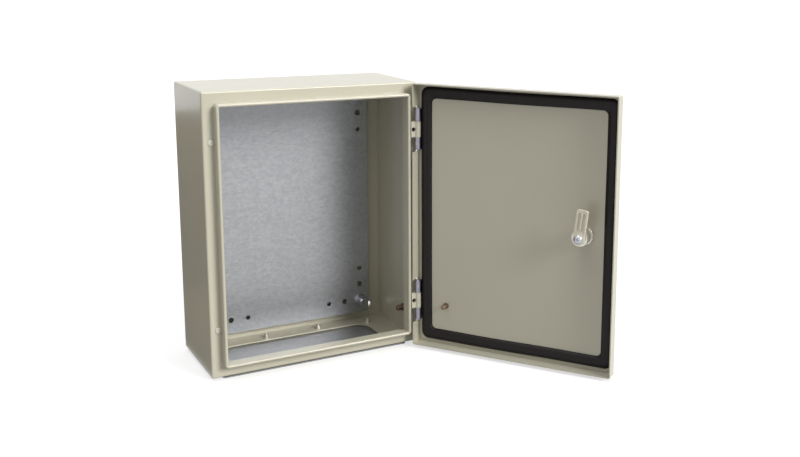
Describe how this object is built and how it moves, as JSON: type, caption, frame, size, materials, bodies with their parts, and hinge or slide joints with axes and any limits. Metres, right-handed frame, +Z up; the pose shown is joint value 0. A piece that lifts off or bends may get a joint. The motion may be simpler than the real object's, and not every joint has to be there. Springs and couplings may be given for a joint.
{
  "type": "wall enclosure",
  "caption": "Sheet-steel wall enclosure for electrical gear: hinged door with foam seal and quarter-turn lock, folded sealing rim, mounting plate and gland plate.",
  "frame": {"origin": "centre of the four wall fixing holes, on the outer rear face", "axes": "+X to the hinge side seen from the front, +Y into the wall, so the door faces -Y, +Z up"},
  "size_m": [0.4713, 0.3935, 0.3835],
  "materials": {
    "paint": "light grey gloss powder coat, fine texture",
    "galvanised": "hot-dip galvanised sheet, faint bluish spangle",
    "zinc": "bright zinc plating",
    "foam": "black foamed-in-place polyurethane, soft skin",
    "cast": "cream passivated zinc casting, satin",
    "black_steel": "black-oxidised steel",
    "copper": "copper-flashed steel, dull",
    "plug": "light grey moulded plastic"
  },
  "bodies": {
    "case": {"case_shell": "paint", "rear_panel": "paint", "mounting_plate": "galvanised", "plate_studs": "zinc", "plate_spacers": "zinc", "plate_nuts": "zinc", "gland_plate": "galvanised", "gland_gasket": "foam", "gland_screws": "zinc", "gland_nuts": "zinc", "earth_stud": "copper", "hole_plugs": "plug", "hinge_block_upper": "paint", "hinge_block_lower": "paint", "hinge_pin_upper": "zinc", "hinge_pin_lower": "zinc", "hinge_screws": "black_steel", "hinge_nuts": "zinc"},
    "door": {"door_panel": "paint", "door_gasket": "foam", "hinge_leaf_upper": "zinc", "hinge_leaf_lower": "zinc", "hinge_rivets": "zinc", "door_earth_stud": "copper", "lock_housing": "zinc", "lock_seal": "foam", "lock_nut": "zinc"},
    "lock": {"lock_insert": "zinc", "lock_cam": "cast", "lock_cam_washer": "zinc", "lock_cam_screw": "zinc"}
  },
  "joints": [
    {"name": "door_hinge", "type": "hinge", "parent": "case", "child": "door", "pos_m": [0.1458, -0.1462, 0], "axis": [0, 0, 1], "range_deg": [-125, 5]},
    {"name": "lock_turn", "type": "hinge", "parent": "door", "child": "lock", "pos_m": [0.29147, -0.34762, 0], "axis": [0.8192, 0.5736, 0], "range_deg": [-7, 83]}
  ]
}
